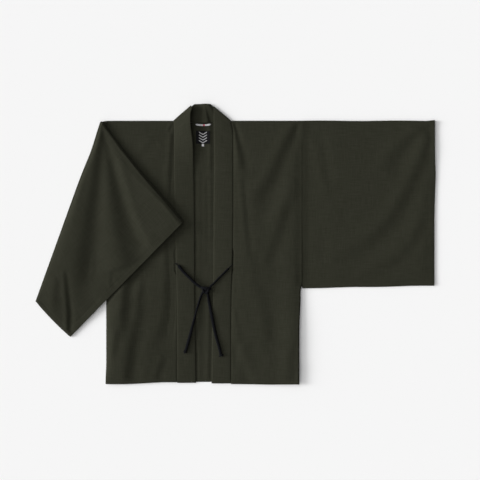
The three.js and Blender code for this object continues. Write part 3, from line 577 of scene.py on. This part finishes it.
def folded_sleeve():
    v = closer_at_ends(int(SLEEVE_DEPTH / LAYER_STEP))
    room = layer_room(v)
    (ax, ay), (bx, by) = FOLD_LINE
    run = np.array([bx - ax, by - ay, 0.0]) / math.hypot(bx - ax, by - ay)
    outward = np.array([run[1], -run[0], 0.0])

    def between(top, bottom):
        """Points down the line from top to bottom, kept clear of the outline at both ends."""
        length = math.dist(top, bottom)
        first, last = (TOP_LOFT + CLOTH / 2) / length, (BOTTOM_LOFT + CLOTH / 2) / length
        share = (first + (1 - first - last) * v)[:, None]
        flat = np.array(top) * (1 - share) + np.array(bottom) * share
        return np.concatenate([flat, np.zeros((len(v), 1))], axis=1)

    pulled_in = (TURN_INSET + 3.5 * bump(0.16, 0.1, v))[:, None]
    axis = between(*FOLD_LINE) - pulled_in * outward
    armhole = between((-HALF_BODY - SEAM_GAP, 0), UNDERARM)
    lower_middle = (CLOTH / 2 + room)[:, None] * UP
    rings = []
    for share in np.linspace(0, 1, 14)[:-1]:
        rings.append(sleeve_ring(armhole + (axis - armhole) * share + lower_middle, UP, room, room))
    for angle in np.linspace(0, math.pi, 13):
        inward = math.cos(angle) * UP - math.sin(angle) * outward
        pivot = axis + (CLOTH / 2 + HALF_LOFT + TURN_RADIUS) * UP
        middle = pivot - (TURN_RADIUS + HALF_LOFT - room[:, None]) * inward
        rings.append(sleeve_ring(middle, inward, room, room))

    cuff = between(*FLAP_CUFF)
    top_edge = np.array([FLAP_CUFF[0][0] - ax, FLAP_CUFF[0][1] - ay, 0.0])
    slack = np.array([top_edge[1], -top_edge[0], 0.0]) / np.linalg.norm(top_edge)
    bottom_edge = np.array([FLAP_CUFF[1][0] - bx, FLAP_CUFF[1][1] - by, 0.0])
    bulge = np.array([bottom_edge[1], -bottom_edge[0], 0.0]) / np.linalg.norm(bottom_edge)
    for share in np.linspace(0, 1, 105)[1:]:
        middle = axis + (cuff - axis) * share
        middle += (np.interp(share, *TOP_HOLLOW) * (1 - smooth(0, 0.3, v)))[:, None] * slack
        middle += (BOTTOM_BULGE * math.sin(math.pi * share) ** 0.7 * smooth(0.8, 1, v))[:, None] * bulge
        x, y = middle[:, 0], middle[:, 1]
        past_sleeve = np.minimum(past([UNDERARM, FOLD_LINE[1]], x, y), -HALF_BODY - x)
        droop = (FLAP_BOTTOM - CLOTH) * smooth(-10, 90, past_sleeve)
        near_top = smooth(0, 250, np.hypot(x - ax, y - ay))
        at_side = smooth(-215, -310, x) * smooth(-330, -480, y)
        sag = MIDDLE_SAG * smooth(0.2, 0.6, share) * np.sin(math.pi * v)
        sag += TOP_SAG * (1 - near_top) * smooth(0, 0.15, share)
        middle[:, 2] = FLAP_BOTTOM + room - droop - sag
        from_top, from_bottom = v * SLEEVE_DEPTH, (1 - v) * SLEEVE_DEPTH
        from_fold = np.linalg.norm(middle[:, :2] - axis[:, :2], axis=1)
        from_cuff = (1 - share) * (FLAP_SHORT + (FLAP_LONG - FLAP_SHORT) * (1 - v))
        slow_roll = 14 + 14 * (1 - smooth(0.4, 0.8, share))
        top_roll = 0.62 * rounded(from_top, 5) + 0.38 * smooth(0, slow_roll, from_top)
        rim = 12 + 36 * smooth(0.2, 0.95, v)
        bottom_roll = rounded(from_bottom, 14 - 7 * smooth(0.6, 1, share))
        roll = np.minimum(np.minimum(top_roll, bottom_roll), rounded(from_fold + 2, rim))
        along_rim = smooth(0.2, 0.45, v) * bump(rim - 4, rim, from_fold)
        inside = smooth(0, 50, from_bottom) * (1 + 0.65 * along_rim)
        at_cuff = 1 - 0.1 * (1 - smooth(0, 20, from_cuff)) - 0.3 * at_side - 0.5 * (1 - near_top)
        over_body = OVER_BODY * smooth(-10, 150, past(RISE_LINE, x, y))
        lift = FLAP_AIR + over_body + SLEEVE_WAVES * unevenness(x, y, 80, 21.5)
        lift *= roll * (0.5 + 0.5 * inside) * at_cuff
        fold_room = smooth(0, 30, from_top) * smooth(0, 18, from_bottom) * smooth(0, 14, from_fold)
        lift = np.maximum(lift + relief(x, y, FLAP_FOLDS) * fold_room, 0.2 * roll)
        stitches = SLEEVE_DIP * (bump(STITCH_ROW, 3, from_bottom) + bump(16, 2.5, from_cuff)) * roll
        rings.append(sleeve_ring(middle, -UP, room, room + lift - stitches))
    rings = np.array(rings)[:, ::-1]
    return cloth("sleeve_right_folded", rings, ring_cut(rings), ring=True)


for sleeve, node, rests_on in (
    (spread_sleeve(), "sleeve_left", []),
    (folded_sleeve(), "sleeve_right", ["front_right_panel", "collar_band"]),
):
    sleeve.data.materials.append(wool)
    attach(sleeve, "root")
    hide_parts(node)

# ---- Collar ----------------------------------------------------------------------------------------
# The collar is one long strip of the wool folded double and sewn on from hem to hem round the back of
# the neck. Pressed flat, it folds over at both neck corners and stands up behind the neck.

BAND_WIDTH, BAND_LENGTH = 60, 1830  # as it shows, from hem to hem round the neck
BAND_THICK = 2.4
BAND_MIDDLE = 3.3  # height of its middle where it lies on the back
BAND_STEP = 3
BAND_STAND = 52.8  # how far it stands above the shoulder line behind the neck
BAND_SKEW_START = -150  # above this its sections slant towards the line that it turns back on
CURL_START, CURL_END = -170, -20  # between these its free edge stands up
NECK_TUCK = 1.6  # how far the seam behind the neck reaches over the back's neck edge
NECK_RISE, SEAM_SHARE = 7, 0.7  # how far the band rises there, and its seam's share of that
CORNER_SHARE = 0.12  # how far along the back neck the band's upper corner lies
TURN_SEAM_HEIGHT = 4.4
TURN_UNDER = 0.85  # the under half of the fold at a neck corner reaches less far out
HALF_BANDS = {  # the free edge from neck to hem, how far it curls up at the neck, settles below that, and
    # bows out on its way; how far the seam rises, and how full the band is; the two ends of the fold at
    # the neck corner, the corner of the part behind the neck, and how far the end hangs at the hem
    "left": {"free_top": 36.4, "free_hem": 26.4, "curl": 1.4, "settle": 0.2, "bow": 0, "seam_up": 1.5,
             "crown": 1.3, "turn_seam": (85.6, -2.6), "turn_free": (31, 43), "corner": (22.6, 52.2),
             "hem_drop": 1.0},
    "right": {"free_top": 30.4, "free_hem": 23, "curl": 18, "settle": 0.7, "bow": 6.5, "seam_up": 0,
              "crown": 1.0, "turn_seam": (91.6, -2.3), "turn_free": (31.3, 37.6), "corner": (27.6, 51.9),
              "hem_drop": -0.8},
}


def band_ring(seam_edge, free_edge, up, crown):
    """A ring round the band's section, from its seam edge over the top to its free edge and back."""
    across = free_edge - seam_edge
    width = np.linalg.norm(across)
    across = across / width
    half = BAND_THICK / 2
    places = np.linspace(half, width - half, int(BAND_WIDTH / BAND_STEP))
    swell = half + crown * np.sin(math.pi * places / width) ** 0.5
    over = seam_edge + places[:, None] * across + swell[:, None] * up
    under = seam_edge + places[::-1, None] * across - half * up
    free = [seam_edge + (width - half) * across + half * (math.cos(a) * across + math.sin(a) * up)
            for a in ROUND_ANGLES]
    seam = [seam_edge + half * across - half * (math.cos(a) * across + math.sin(a) * up)
            for a in ROUND_ANGLES]
    return np.concatenate([over, free, under, seam])


def behind_neck(x):
    """How far the band's upper edge rises off the surface behind the neck."""
    return NECK_RISE * smooth(-12, 12, x) * (1 - smooth(13, 25, x))


def half_band(side_name):
    """The rings of one side of the band, from the hem to the middle of the back neck."""
    half, sides = HALF_BANDS[side_name], SIDES[side_name]
    side = sides["side"]
    turn_seam = np.array([side * half["turn_seam"][0], half["turn_seam"][1], 0.0])
    turn_free = np.array([side * half["turn_free"][0], half["turn_free"][1], 0.0])
    rings = []
    for y in np.arange(-BODY_LENGTH - half["hem_drop"], turn_seam[1] + 0.1, BAND_STEP):
        skew = float(smooth(BAND_SKEW_START, SKEW_END, y))
        seam_x = side * float(band_seam(sides, y))
        free_run = side * (half["free_top"] + (half["free_hem"] - half["free_top"]) * -y / BODY_LENGTH)
        free_x = free_run * (1 - skew) + turn_free[0] * skew + 0.8 * math.sin(y / 83 + side)
        free_x -= half["bow"] * float(smooth(-95, -35, y) * (1 - 0.7 * smooth(-20, SKEW_END, y)))
        free_y = y + skew * (turn_free[1] - turn_seam[1])
        seam_height = BAND_MIDDLE + (TURN_SEAM_HEIGHT - BAND_MIDDLE) * float(smooth(-60, 0, y))
        seam_height += half["seam_up"] * float(smooth(-520, -480, y) * smooth(-10, -60, y))
        free_height = BAND_MIDDLE + half["curl"] * float(smooth(CURL_START, CURL_END, y))
        free_height += 0.3 * noise.noise((y / 60, side, 0)) - half["settle"] * float(smooth(-150, -260, y))
        crown = half["crown"] + 0.4 * noise.noise((y / 35, side, 0.5)) + 0.08 * math.sin(y / 2.2)
        crown *= 0.3 + 0.7 * float(smooth(-BODY_LENGTH - 3, -BODY_LENGTH + 14, y))
        crown -= 0.6 * float(bump(HEM - BODY_LENGTH, 2.6, y))
        rings.append(band_ring(np.array([seam_x, y, seam_height]), np.array([free_x, free_y, free_height]),
                               UP, crown))

    fold_run = (turn_free - turn_seam) / np.linalg.norm(turn_free - turn_seam)
    outward = np.array([side * fold_run[1], -side * fold_run[0], 0.0])
    radii = (np.array([TURN_SEAM_HEIGHT, BAND_MIDDLE + half["curl"]]) - BAND_THICK / 2) / 2
    for angle in np.linspace(0, math.pi, 13)[1:]:
        lift = BAND_THICK / 2 + radii * (1 + math.cos(angle))
        reach = np.sin(angle) * radii
        if angle > math.pi / 2:
            reach = radii * (TURN_UNDER + (1 - TURN_UNDER) * math.sin(angle))
        ends = [c + r * outward + z * UP for c, r, z in zip((turn_seam, turn_free), reach, lift)]
        up = math.cos(angle) * UP + math.sin(angle) * outward
        rings.append(band_ring(ends[0], ends[1], up, 1.0 * (1 - angle / math.pi)))

    turned_seam, turned_free = (c + TURN_UNDER * r * outward for c, r in zip((turn_seam, turn_free), radii))
    for share in np.linspace(0, 1, 34)[1:]:
        seam_point = turned_seam * (1 - share) + np.array([0, -NECK_DROP - NECK_TUCK, NECK_TUCK]) * share
        free_x = np.interp(share, (0, CORNER_SHARE, 1), (turned_free[0], side * half["corner"][0], 0))
        free_y = np.interp(share, (0, CORNER_SHARE, 1), (turned_free[1], half["corner"][1], BAND_STAND))
        gained = min(1, share * 5)
        free_point = np.array([free_x, free_y, BAND_THICK / 2 + float(behind_neck(free_x)) * gained])
        seam_rise = BAND_THICK / 2 + SEAM_SHARE * float(behind_neck(seam_point[0])) * gained
        rings.append(band_ring(seam_point + seam_rise * UP, free_point, -UP, 0.0))
    return rings


def close_ends():
    """Closes the open ends of the tubes in the active piece, and turns its faces outwards."""
    bpy.ops.object.mode_set(mode="EDIT")
    bpy.ops.mesh.select_all(action="SELECT")
    bpy.ops.mesh.fill_holes(sides=0)
    bpy.ops.mesh.normals_make_consistent(inside=False)
    bpy.ops.object.mode_set(mode="OBJECT")


band_rings = np.array(half_band("right") + half_band("left")[:-1][::-1])
band_around = np.linalg.norm(np.diff(band_rings[0], axis=0, append=band_rings[0][:1]), axis=1)
band_across = np.concatenate([[0], np.cumsum(band_around)])
middle_line = band_rings.mean(axis=1)
band_along = np.cumsum(np.linalg.norm(np.diff(middle_line, axis=0, prepend=middle_line[:1]), axis=1))
band_flat = np.stack(np.meshgrid(band_across, band_along), axis=-1)
collar = cloth("collar_band", band_rings, band_flat, thickness=0, ring=True)
close_ends()
collar.data.materials.append(wool)
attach(collar, "root")
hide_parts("collar")

# ---- Label, size tab and hanging loop --------------------------------------------------------------
# A black woven label and a small white size tab are sewn inside the back neck, under a hanging loop of
# white tape that is sewn down at both ends with its middle left free.

LABEL_WIDTH, LABEL_HEIGHT = 43, 40
TAB_WIDTH, TAB_HEIGHT, TAB_GAP = 6.8, 7.4, 0.5  # the gap is between it and the label
TRIM_THICK = 0.8
LABEL_TOP = -31
LABEL_MIDDLE = -0.9
TAPE_LENGTH, TAPE_WIDTH = 47, 5.2
TAPE_MIDDLE = (0.4, -13.4)
TAPE_RISE, TAPE_BOW = 1.6, 2.2  # how far its middle stands off the cloth, and lies below its ends


def patch(name, left, right, top, bottom):
    """A flat piece of trim that lies on the back, with UVs in metres from its middle."""
    x, y = np.meshgrid(np.linspace(left, right, 25), np.linspace(bottom, top, 15))
    z = back_height(x, y) + CLOTH / 2 + TRIM_THICK / 2
    flat = np.stack([x - (left + right) / 2, y - (top + bottom) / 2], axis=-1)
    return cloth(name, np.stack([x, y, z], axis=-1), flat, thickness=TRIM_THICK)


CHEVRON_PITCH = 8.6e-3
CHEVRON_DROP = 4.0e-3  # how far their middle lies below the label's
CHEVRON_SLOPE = -0.6
CHEVRON_REACH = 12.2e-3
CHEVRON_LINE = (1.3e-3, 1.7e-3)  # half the width of a line, where it is full and where it ends


def satin_label():
    """Black damask label. Four pale woven chevrons fill it, a plain generic device of its own."""
    material, tree, shader = new_material("black_woven_label", 0.6, 0.1)
    cut = add_node(tree, "TexCoord", {}).outputs["UV"]
    split = add_node(tree, "SeparateXYZ", {0: cut})
    out = add_node(tree, "Math", {"operation": "ABSOLUTE", 0: split.outputs[0]})
    row = add_node(tree, "Math", {"operation": "MULTIPLY_ADD", 0: out.outputs[0], 1: CHEVRON_SLOPE,
                                  2: split.outputs[1]})
    placed = add_node(tree, "Math", {"operation": "ADD", 0: row.outputs[0], 1: CHEVRON_DROP})
    lifted = add_node(tree, "Math", {"operation": "ADD", 0: placed.outputs[0], 1: CHEVRON_PITCH / 2})
    wave = add_node(tree, "Math", {"operation": "PINGPONG", 0: lifted.outputs[0], 1: CHEVRON_PITCH / 2})
    line = add_node(tree, "MapRange", {"Value": wave.outputs[0], "From Min": CHEVRON_LINE[0],
                                       "From Max": CHEVRON_LINE[1], "To Min": 1.0, "To Max": 0.0})
    tall = add_node(tree, "Math", {"operation": "ABSOLUTE", 0: placed.outputs[0]})
    inside = line.outputs[0]
    for reach, limit in ((out, CHEVRON_REACH), (tall, 2 * CHEVRON_PITCH)):
        within = add_node(tree, "Math", {"operation": "LESS_THAN", 0: reach.outputs[0], 1: limit})
        kept = add_node(tree, "Math", {"operation": "MULTIPLY", 0: inside, 1: within.outputs[0]})
        inside = kept.outputs[0]
    colour = add_node(tree, "Mix", {"data_type": "RGBA", 0: inside, 6: linear("#08080b"),
                                    7: linear("#a6a6a8")})
    tree.links.new(colour.outputs[2], shader.inputs["Base Color"])
    return material


BLOCK_PLACE, BLOCK_HALF = 1.6e-3, 3.3e-3  # the woven block's middle along the tape, and half its length
RIB = 0.8e-3


def white_tape(name, block_colour):
    """White cotton tape in a fine rib, with one block woven in another colour across its middle."""
    material, tree, shader = new_material(name, 0.8, 0.2)
    cut = add_node(tree, "TexCoord", {}).outputs["UV"]
    split = add_node(tree, "SeparateXYZ", {0: cut})
    along = add_node(tree, "Math", {"operation": "SUBTRACT", 0: split.outputs[0], 1: BLOCK_PLACE})
    away = add_node(tree, "Math", {"operation": "ABSOLUTE", 0: along.outputs[0]})
    block = add_node(tree, "Math", {"operation": "LESS_THAN", 0: away.outputs[0], 1: BLOCK_HALF})
    colour = add_node(tree, "Mix", {"data_type": "RGBA", 0: block.outputs[0], 6: linear("#b9b8ba"),
                                    7: linear(block_colour)})
    tree.links.new(colour.outputs[2], shader.inputs["Base Color"])
    turns = add_node(tree, "Math", {"operation": "MULTIPLY", 0: split.outputs[0], 1: math.tau / RIB})
    rib = add_node(tree, "Math", {"operation": "SINE", 0: turns.outputs[0]})
    grain = add_node(tree, "Bump", {"Strength": 0.4, "Distance": 0.0001, "Height": rib.outputs[0]})
    tree.links.new(grain.outputs[0], shader.inputs["Normal"])
    return material


def tape_arch(x):
    """The tape's free middle stands off the cloth, and its sewn ends turn down."""
    return TAPE_RISE * np.cos(math.pi * (x - TAPE_MIDDLE[0]) / TAPE_LENGTH) ** 0.35


def hanging_loop():
    """A strip of tape with its ends drawn in to points where they are sewn down."""
    share = np.linspace(-0.499, 0.499, 41)
    x = TAPE_MIDDLE[0] + TAPE_LENGTH * share[None, :] + np.zeros((7, 1))
    taper = 0.3 + 0.7 * rounded(0.5 - abs(share), 0.12)
    across = np.linspace(-0.5, 0.5, 7)[:, None] * TAPE_WIDTH * taper[None, :]
    y = TAPE_MIDDLE[1] + across + TAPE_BOW * (2 * share[None, :]) ** 2
    z = back_height(x, y) + CLOTH / 2 + TRIM_THICK / 2 + tape_arch(x)
    flat = np.stack([x - TAPE_MIDDLE[0], across + 0 * x], axis=-1)
    return cloth("hanging_loop_tape", np.stack([x, y, z], axis=-1), flat, thickness=TRIM_THICK)


label_bottom = LABEL_TOP - LABEL_HEIGHT
label = patch("neck_label_patch", LABEL_MIDDLE - LABEL_WIDTH / 2, LABEL_MIDDLE + LABEL_WIDTH / 2, LABEL_TOP,
              label_bottom)
label.data.materials.append(satin_label())
tab_top = label_bottom - TAB_GAP
tab = patch("size_tab_patch", LABEL_MIDDLE - TAB_WIDTH / 2, LABEL_MIDDLE + TAB_WIDTH / 2, tab_top,
            tab_top - TAB_HEIGHT)
tab.data.materials.append(white_tape("white_size_tab", "#b9b8ba"))
tape = hanging_loop()
tape.data.materials.append(white_tape("white_tape_with_red_block", "#a8606a"))
for piece, node, slot, flat in (
    (label, "neck_label", "woven_label", (LABEL_WIDTH, LABEL_HEIGHT)),
    (tab, "size_tab", "woven_tape", None),
    (tape, "hanging_loop", "woven_tape", None),
):
    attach(piece, "root")
    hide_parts(node)

# ---- Ties ------------------------------------------------------------------------------------------
# Two black braided cords hang on short thread loops that come out of the band seams. They are tied
# once in the middle, and each tail ends in a small knot of its own.

CORD_DIAMETER = 7
RIGHT_LOOP = [(-87, -440, 5.8), (-84.5, -442.5, 6.4), (-81.5, -444.7, 7.6), (-76, -448.6, 8.6)]
LEFT_LOOP = [(91, -443.5, 5.8), (86.5, -449, 6.4), (83, -452.8, 7.6), (77, -458.6, 8.6)]
RIGHT_CORD = [
    (-77, -447.6, 8.6), (-72, -453.6, 8.9), (-64.5, -463.5, 9), (-53, -475.5, 9), (-41, -487, 9),
    (-30, -498, 9), (-16, -509.5, 9), (-5, -516, 9.2), (2, -522, 9), (1, -528, 8.2), (-3.5, -536, 7.2),
    (-9, -549, 5.8), (-15.5, -569, 5.6), (-22.5, -595, 7.8), (-30.5, -625, 8.9), (-39.5, -660, 8.9),
    (-49, -694, 8.9), (-54.5, -713, 8.9),
]
LEFT_CORD = [
    (78.5, -456.8, 8.6), (72, -463.5, 8.9), (63, -472.5, 9), (48, -487, 9), (35.5, -500, 9),
    (27, -508.5, 9), (20, -515.5, 9.2), (14.5, -522, 9), (14, -530, 8.2), (15.5, -541, 7),
    (18.5, -562, 5.8), (22.5, -583, 6), (27, -606, 8.2), (32.5, -634, 8.9), (39.5, -665, 8.9),
    (48.5, -698, 8.9), (54.5, -722, 8.9),
]
KNOT_TURNS = [
    [(-7, -514, 8), (-2, -516, 11.8), (6, -517, 13.4), (14, -517.5, 13.2), (21, -519.5, 10.4),
     (24, -522.5, 7)],
    [(0, -513.5, 7.5), (-0.5, -519, 12), (0.5, -525, 12.6), (4, -531, 9.5), (8, -533, 6.5)],
    [(21, -513, 7.5), (18, -520, 11.6), (15, -526.5, 12.8), (10.5, -532, 10.2), (6, -534.5, 6.5)],
    [(-3, -517, 8), (4, -520.5, 11.6), (12, -522, 11.8), (20, -524.5, 8)],
    [(1, -524, 8), (7, -527.5, 10.6), (14, -529, 8)],
]
END_TURNS = {
    "left": [[(50.5, -721, 8), (54, -724, 11.4), (59.5, -726.5, 10.6), (62, -727, 7.6)],
             [(61, -722.5, 8), (57, -724, 11.6), (51.5, -727.5, 10.4), (49.5, -728.5, 7.6)]],
    "right": [[(-59.5, -711.5, 8), (-57, -714.5, 11.4), (-53, -716.8, 10.4), (-51, -717, 7.8)],
              [(-51.5, -711.5, 8), (-54, -714.5, 11.8), (-57.5, -717.5, 10.4), (-58.5, -718.5, 7.8)]],
}


def spline(points, step):
    """A smooth line through the points, in steps of about the given length."""
    points = np.array(points, float)
    ends = np.concatenate([[2 * points[0] - points[1]], points, [2 * points[-1] - points[-2]]])
    line = []
    for a, b, c, d in zip(ends, ends[1:], ends[2:], ends[3:]):
        t = np.linspace(0, 1, max(2, int(np.linalg.norm(c - b) / step)), endpoint=False)[:, None]
        line.append(0.5 * (2 * b + (c - a) * t + (2 * a - 5 * b + 4 * c - d) * t**2
                           + (3 * b - a - 3 * c + d) * t**3))
    return np.concatenate(line + [points[-1:]])


STRAND_LOW, STRAND_DEPTH = 0.82, 0.2  # the cord's size between its strands, and how much they add
END_ROUND = 2.5


def braid_tube(points, wide, thin, roll, strand=7.0, step=0.9, sides=20):
    """The smooth line of a braided cord, its rings and their UVs. wide and thin are its two diameters,
    and roll how it is turned about its line, in degrees; each is a row of values from end to end."""
    line = spline(points, step)
    along = np.concatenate([[0], np.cumsum(np.linalg.norm(np.diff(line, axis=0), axis=1))])
    share = along / along[-1]

    def spread(values):
        return np.interp(share, np.linspace(0, 1, len(values)), values)

    ahead = np.gradient(line, axis=0)
    ahead /= np.linalg.norm(ahead, axis=1)[:, None]
    level = np.cross(ahead, UP)
    level /= np.linalg.norm(level, axis=1)[:, None]
    upward = np.cross(level, ahead)
    turn = np.radians(spread(roll))[:, None]
    first = np.cos(turn) * level + np.sin(turn) * upward
    second = np.cos(turn) * upward - np.sin(turn) * level
    angle = np.linspace(0, math.tau, sides, endpoint=False)[None, :]
    phase = (math.pi * along / strand)[:, None]
    strands = np.maximum(abs(np.cos(2 * angle + phase)), abs(np.cos(2 * angle - phase)))
    close = np.minimum(rounded(along, END_ROUND), rounded(along[-1] - along, END_ROUND))[:, None]
    size = (STRAND_LOW + STRAND_DEPTH * strands) * np.maximum(close, 0.05)
    across = (spread(wide)[:, None] / 2 * size * np.cos(angle))[:, :, None] * first[:, None, :]
    over = (spread(thin)[:, None] / 2 * size * np.sin(angle))[:, :, None] * second[:, None, :]
    rings = line[:, None, :] + across + over
    around = np.arange(sides + 1) / sides * math.pi * CORD_DIAMETER
    flat = np.stack(np.meshgrid(around, along), axis=-1)
    return line, rings, flat


def cord_mesh(name, tubes, material):
    """One object of closed tubes."""
    parts = []
    for k, (_, rings, flat) in enumerate(tubes):
        parts.append(cloth(f"{name}_{k}", rings, flat, thickness=0, ring=True))
    bpy.ops.object.select_all(action="DESELECT")
    for part in parts:
        part.select_set(True)
    bpy.context.view_layer.objects.active = parts[0]
    if len(parts) > 1:
        bpy.ops.object.join()
    piece = bpy.context.active_object
    piece.name = name
    close_ends()
    piece.data.materials.append(material)
    return piece


THREADS_ACROSS, THREADS_ALONG = 1400, 420  # to a metre: threads 0.7 mm apart, that show for 2.4 mm


def black_braid():
    """Black cotton braid: fine parallel threads on each strand, matt, and a little paler where the threads
    stand highest.
    """
    material, tree, shader = new_material("black_cotton_braid", 0.85, 0.05)
    cut = add_node(tree, "TexCoord", {}).outputs["UV"]
    place = add_node(tree, "Mapping", {0: cut, "Scale": (THREADS_ACROSS, THREADS_ALONG, 1)})
    threads = add_node(tree, "TexNoise", {"Vector": place.outputs[0], "Scale": 1.0, "Detail": 2.0})
    colour = add_node(tree, "Mix", {"data_type": "RGBA", 0: threads.outputs["Fac"], 6: linear("#09090b"),
                                    7: linear("#16171a")})
    tree.links.new(colour.outputs[2], shader.inputs["Base Color"])
    grain = add_node(tree, "Bump", {"Strength": 0.5, "Distance": 0.0002, "Height": threads.outputs["Fac"]})
    tree.links.new(grain.outputs[0], shader.inputs["Normal"])
    return material


braid = black_braid()
CORDS = {
    "right": {"route": RIGHT_CORD, "loop": RIGHT_LOOP, "thin": (6.0, 5.6, 5.4),
              "wide": (9.6, 8.2, 8.6, 8.0, 7.8, 7.0, 6.2, 7.4, 8.8, 9.0, 8.6),
              "roll": (8, 0, 5, 10, 30, 75, 60, 20, 5, 0, 0)},
    "left": {"route": LEFT_CORD, "loop": LEFT_LOOP, "thin": (5.4, 5.2, 5.4),
             "wide": (7.6, 7.4, 7.6, 8.0, 9.4, 9.8, 9.4, 9.0, 8.8, 8.4),
             "roll": (55, 78, 80, 60, 10, 0, 5, 15, 10, 5)},
}
knot_tubes = [braid_tube(turn, (6.4, 7.2, 7.2, 6.4), (5.4, 5.8, 5.4), (0, 10, 0)) for turn in KNOT_TURNS]
knot = cord_mesh("tie_knot_turns", knot_tubes, braid)
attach(knot, "root")
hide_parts("tie_knot")
for side_name, parts in CORDS.items():
    thread_tube = braid_tube(parts["loop"], (2.6, 2.6, 3.2), (2.2, 2.2, 2.8), (0, 0), strand=3.5, step=0.6,
                             sides=12)
    thread = cord_mesh(f"tie_loop_{side_name}_thread", [thread_tube], braid)
    end_tubes = [braid_tube(turn, (4.6, 5.4, 4.2), (4.2, 4.8, 4.0), (0, 0)) for turn in END_TURNS[side_name]]
    end_knot = cord_mesh(f"tie_end_{side_name}_knot", end_tubes, braid)
    tube = braid_tube(parts["route"], parts["wide"], parts["thin"], parts["roll"])
    cord = cord_mesh(f"tie_cord_{side_name}", [tube], braid)
    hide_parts(f"tie_loop_{side_name}")
    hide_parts(f"tie_end_{side_name}")
    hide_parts(f"tie_{side_name}", f"tie_tail_{side_name}")
    for piece in (thread, end_knot, cord):
        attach(piece, "root")

# ---- Stage -----------------------------------------------------------------------------------------
# A plain pale floor, soft light from the left as from a wide window, and a camera straight overhead.

FLOOR_SIZE, FLOOR_DEPTH = 40, 0.0004  # the stage's sizes are metres
bpy.ops.object.select_all(action="DESELECT")
bpy.ops.mesh.primitive_plane_add(size=FLOOR_SIZE, location=(0, 0, -FLOOR_DEPTH))
floor = bpy.context.active_object
floor.name = "floor"
paper, paper_tree, paper_shader = new_material("matt_white_paper", 1.0, 0.0)
paper_shader.inputs["Base Color"].default_value = (0.9, 0.9, 0.9, 1)
floor.data.materials.append(paper)

TO_WINDOW = (-0.87, 0.0, 0.5)
ROOM_DIM, ROOM_BRIGHT = 0.082, 1.568  # the room's light away from the window and towards it
room = bpy.data.worlds.new("room")
room.use_nodes = True
room_tree = room.node_tree
direction = add_node(room_tree, "TexCoord", {}).outputs["Generated"]
leftness = add_node(room_tree, "VectorMath", {"operation": "DOT_PRODUCT", 0: direction, 1: TO_WINDOW})
glow = add_node(room_tree, "MapRange", {"Value": leftness.outputs["Value"], "To Min": ROOM_DIM,
                                        "To Max": ROOM_BRIGHT})
room_light = room_tree.nodes["Background"]
room_light.inputs["Color"].default_value = (1, 1, 1, 1)
room_tree.links.new(glow.outputs[0], room_light.inputs["Strength"])
bpy.context.scene.world = room

WINDOW_HEIGHT = 19  # degrees above the floor
WINDOW_TURN = 3  # degrees round from the left towards the neck
WINDOW_WIDTH = 21  # degrees across, which softens the shadows
WINDOW_STRENGTH = 3.26
bpy.ops.object.light_add(type="SUN", location=(-2, 0.5, 2))
window = bpy.context.active_object
window.name = "window"
window.data.energy = WINDOW_STRENGTH
window.data.angle = math.radians(WINDOW_WIDTH)
turn, height = math.radians(WINDOW_TURN), math.radians(WINDOW_HEIGHT)
away = Vector((-math.cos(turn) * math.cos(height), math.sin(turn) * math.cos(height), math.sin(height)))
window.rotation_euler = away.to_track_quat("Z", "Y").to_euler()

FRAME_WIDTH = 1.488  # of floor that the camera sees
CAMERA_OVER = (114, -369)  # millimetres from the middle of the shoulder line
SENSOR = 36
CAMERA_HEIGHT = 3.4
bpy.ops.object.camera_add(location=(MIDDLE_X + CAMERA_OVER[0] / 1000, SHOULDER_Y + CAMERA_OVER[1] / 1000,
                                    CAMERA_HEIGHT))
camera = bpy.context.active_object
camera.rotation_euler = (0, 0, 0)
camera.data.sensor_width = SENSOR
camera.data.lens = SENSOR * CAMERA_HEIGHT / FRAME_WIDTH
bpy.context.scene.camera = camera
bpy.context.scene.view_settings.view_transform = "Standard"
